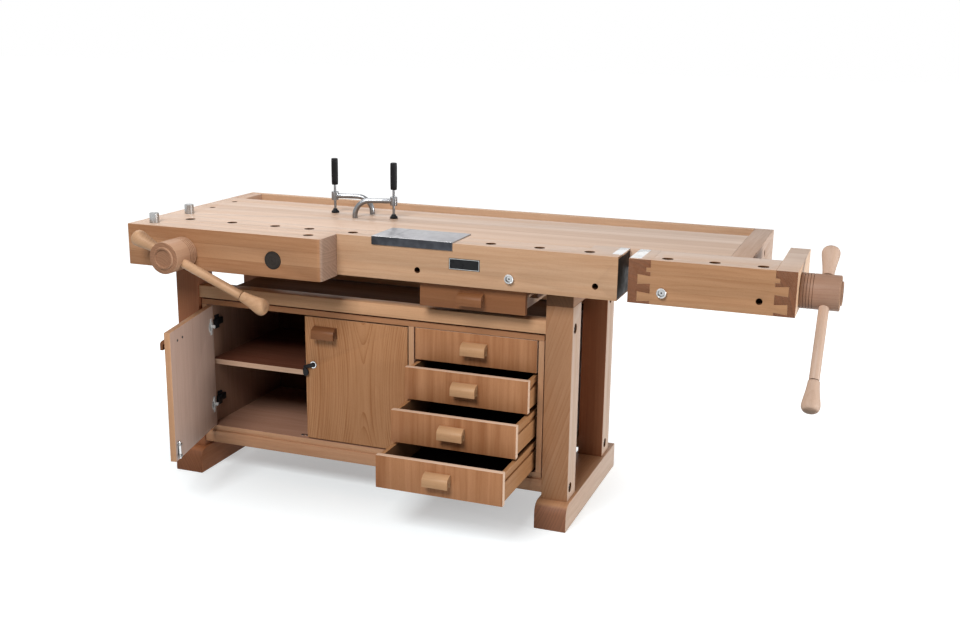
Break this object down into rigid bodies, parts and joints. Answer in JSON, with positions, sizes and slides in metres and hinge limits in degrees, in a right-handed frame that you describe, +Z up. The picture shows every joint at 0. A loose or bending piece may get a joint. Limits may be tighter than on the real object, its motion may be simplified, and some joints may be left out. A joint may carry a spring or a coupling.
{
  "type": "woodworking bench",
  "caption": "Joiner's workbench with a front vise, a tail vise, a tool tray, bench dogs, hold-down clamps and a cabinet with doors and drawers under the top.",
  "frame": {"origin": "on the floor at the middle of the part's box at rest", "axes": "+X to the right along the top, towards the tail vise's handle, +Y from the front to the back, +Z up"},
  "size_m": [2.1412, 0.9136, 1.041],
  "materials": {
    "beech": "oiled",
    "veneer": "satin lacquer",
    "steel": "brushed",
    "dark_steel": "dull",
    "black_grip": "satin"
  },
  "bodies": {
    "root": {"bench_top": "beech", "front_apron": "beech", "right_end_cap": "beech", "tray_bottom": "beech", "tray_left_end": "beech", "tray_back_rail": "beech", "anvil_plate": "steel", "left_foot": "beech", "left_front_post": "beech", "left_rear_post": "beech", "left_top_beam": "beech", "right_foot": "beech", "right_front_post": "beech", "right_rear_post": "beech", "right_top_beam": "beech", "front_upper_stretcher": "beech", "front_lower_stretcher": "beech", "rear_upper_stretcher": "beech", "rear_lower_stretcher": "beech", "cabinet_bottom": "veneer", "cabinet_top": "veneer", "cabinet_left_side": "veneer", "cabinet_right_side": "veneer", "cabinet_divider": "veneer", "cabinet_back": "veneer", "cabinet_shelf": "veneer", "upper_drawer_hanger": "beech", "front_vise_nut": "dark_steel", "tail_vise_nut_block": "beech"},
    "left_door": {"left_door": "veneer"},
    "door_bolt": {"door_bolt": "steel"},
    "right_door": {"right_door": "veneer"},
    "door_lock": {"door_lock": "steel"},
    "drawer_1": {"drawer_1": "veneer"},
    "drawer_2": {"drawer_2": "veneer"},
    "drawer_3": {"drawer_3": "veneer"},
    "drawer_4": {"drawer_4": "veneer"},
    "upper_drawer": {"upper_drawer": "beech"},
    "front_jaw": {"front_vise_jaw": "beech", "front_vise_guide_bar": "dark_steel"},
    "front_screw": {"front_vise_screw": "steel", "front_vise_hub": "beech"},
    "front_handle": {"front_vise_handle": "beech"},
    "tail_vise": {"tail_vise_cheek": "beech", "tail_vise_jaw_block": "beech", "tail_vise_arm": "beech", "tail_vise_guide_bar": "steel"},
    "tail_screw": {"tail_vise_screw": "steel", "tail_vise_hub": "beech"},
    "tail_handle": {"tail_vise_handle": "beech"},
    "left_hold_down_arm": {"left_hold_down_arm": "steel"},
    "left_hold_down_pad": {"left_hold_down_pad": "black_grip"},
    "left_hold_down_screw": {"left_hold_down_screw": "black_grip"},
    "right_hold_down_arm": {"right_hold_down_arm": "steel"},
    "right_hold_down_pad": {"right_hold_down_pad": "black_grip"},
    "right_hold_down_screw": {"right_hold_down_screw": "black_grip"},
    "jaw_dog": {"jaw_dog": "steel"},
    "top_dog": {"top_dog": "steel"},
    "apron_peg": {"apron_peg": "steel"},
    "cheek_peg": {"cheek_peg": "steel"}
  },
  "joints": [
    {"name": "left_door_hinge", "type": "hinge", "parent": "root", "child": "left_door", "pos_m": [-0.91535, -0.10616, 0.366], "axis": [0, 0, -1], "range_deg": [-77.5, 12.5]},
    {"name": "door_bolt_slide", "type": "slide", "parent": "left_door", "child": "door_bolt", "axis": [0, 0, -1], "range_m": [0, 0.012]},
    {"name": "right_door_hinge", "type": "hinge", "parent": "root", "child": "right_door", "pos_m": [-0.19395, -0.10616, 0.366], "axis": [0, 0, 1], "range_deg": [0, 85]},
    {"name": "door_lock_turn", "type": "hinge", "parent": "right_door", "child": "door_lock", "pos_m": [-0.52615, -0.09716, 0.412], "axis": [0, 1, 0], "range_deg": [0, 90]},
    {"name": "drawer_1_slide", "type": "slide", "parent": "root", "child": "drawer_1", "axis": [0, -1, 0], "range_m": [0, 0.35]},
    {"name": "drawer_2_slide", "type": "slide", "parent": "root", "child": "drawer_2", "axis": [0, -1, 0], "range_m": [-0.079, 0.271]},
    {"name": "drawer_3_slide", "type": "slide", "parent": "root", "child": "drawer_3", "axis": [0, -1, 0], "range_m": [-0.182, 0.168]},
    {"name": "drawer_4_slide", "type": "slide", "parent": "root", "child": "drawer_4", "axis": [0, -1, 0], "range_m": [-0.291, 0.059]},
    {"name": "upper_drawer_slide", "type": "slide", "parent": "root", "child": "upper_drawer", "axis": [0, -1, 0], "range_m": [0, 0.28]},
    {"name": "front_jaw_slide", "type": "slide", "parent": "root", "child": "front_jaw", "axis": [0, -1, 0], "range_m": [0, 0.18]},
    {"name": "front_screw_turn", "type": "hinge", "parent": "front_jaw", "child": "front_screw", "pos_m": [-0.86865, -0.28916, 0.784], "axis": [0, -1, 0], "range_deg": [0, 10800.5]},
    {"name": "front_handle_slide", "type": "slide", "parent": "front_screw", "child": "front_handle", "axis": [-0.9225, 0, 0.3859], "range_m": [0, 0.21]},
    {"name": "tail_vise_slide", "type": "slide", "parent": "root", "child": "tail_vise", "axis": [1, 0, 0], "range_m": [-0.0297, 0.15]},
    {"name": "tail_screw_turn", "type": "hinge", "parent": "tail_vise", "child": "tail_screw", "pos_m": [0.95935, -0.08116, 0.79], "axis": [1, 0, 0], "range_deg": [-1782.5, 9000.5]},
    {"name": "tail_handle_slide", "type": "slide", "parent": "tail_screw", "child": "tail_handle", "axis": [0, 0.6428, 0.766], "range_m": [0, 0.21]},
    {"name": "left_hold_down_swivel", "type": "hinge", "parent": "root", "child": "left_hold_down_arm", "pos_m": [-0.45665, 0.19484, 0.86], "axis": [0, 0, 1], "range_deg": [-40, 40]},
    {"name": "left_hold_down_travel", "type": "slide", "parent": "left_hold_down_arm", "child": "left_hold_down_pad", "axis": [0, 0, 1], "range_m": [0, 0.027]},
    {"name": "left_hold_down_screw_turn", "type": "hinge", "parent": "left_hold_down_pad", "child": "left_hold_down_screw", "pos_m": [-0.58136, 0.17083, 0.917], "axis": [0, 0, 1], "range_deg": [0, 3240.5]},
    {"name": "right_hold_down_swivel", "type": "hinge", "parent": "root", "child": "right_hold_down_arm", "pos_m": [-0.47565, 0.10384, 0.86], "axis": [0, 0, 1], "range_deg": [-40, 40]},
    {"name": "right_hold_down_travel", "type": "slide", "parent": "right_hold_down_arm", "child": "right_hold_down_pad", "axis": [0, 0, 1], "range_m": [0, 0.027]},
    {"name": "right_hold_down_screw_turn", "type": "hinge", "parent": "right_hold_down_pad", "child": "right_hold_down_screw", "pos_m": [-0.35473, 0.14267, 0.917], "axis": [0, 0, 1], "range_deg": [0, 3240.5]},
    {"name": "jaw_dog_lift", "type": "slide", "parent": "front_jaw", "child": "jaw_dog", "axis": [0, 0, 1], "range_m": [-0.028, 0.05]},
    {"name": "top_dog_lift", "type": "slide", "parent": "root", "child": "top_dog", "axis": [0, 0, 1], "range_m": [-0.028, 0.05]},
    {"name": "apron_peg_pull", "type": "slide", "parent": "root", "child": "apron_peg", "axis": [0, -1, 0], "range_m": [0, 0.06]},
    {"name": "cheek_peg_pull", "type": "slide", "parent": "tail_vise", "child": "cheek_peg", "axis": [0, -1, 0], "range_m": [0, 0.06]}
  ],
  "couplings": [
    {"joint": "front_screw_turn", "follows": "front_jaw_slide", "rad_per_m": 1047.2},
    {"joint": "tail_screw_turn", "follows": "tail_vise_slide", "rad_per_m": 1047.2},
    {"joint": "left_hold_down_screw_turn", "follows": "left_hold_down_travel", "rad_per_m": 2094.4},
    {"joint": "right_hold_down_screw_turn", "follows": "right_hold_down_travel", "rad_per_m": 2094.4}
  ]
}
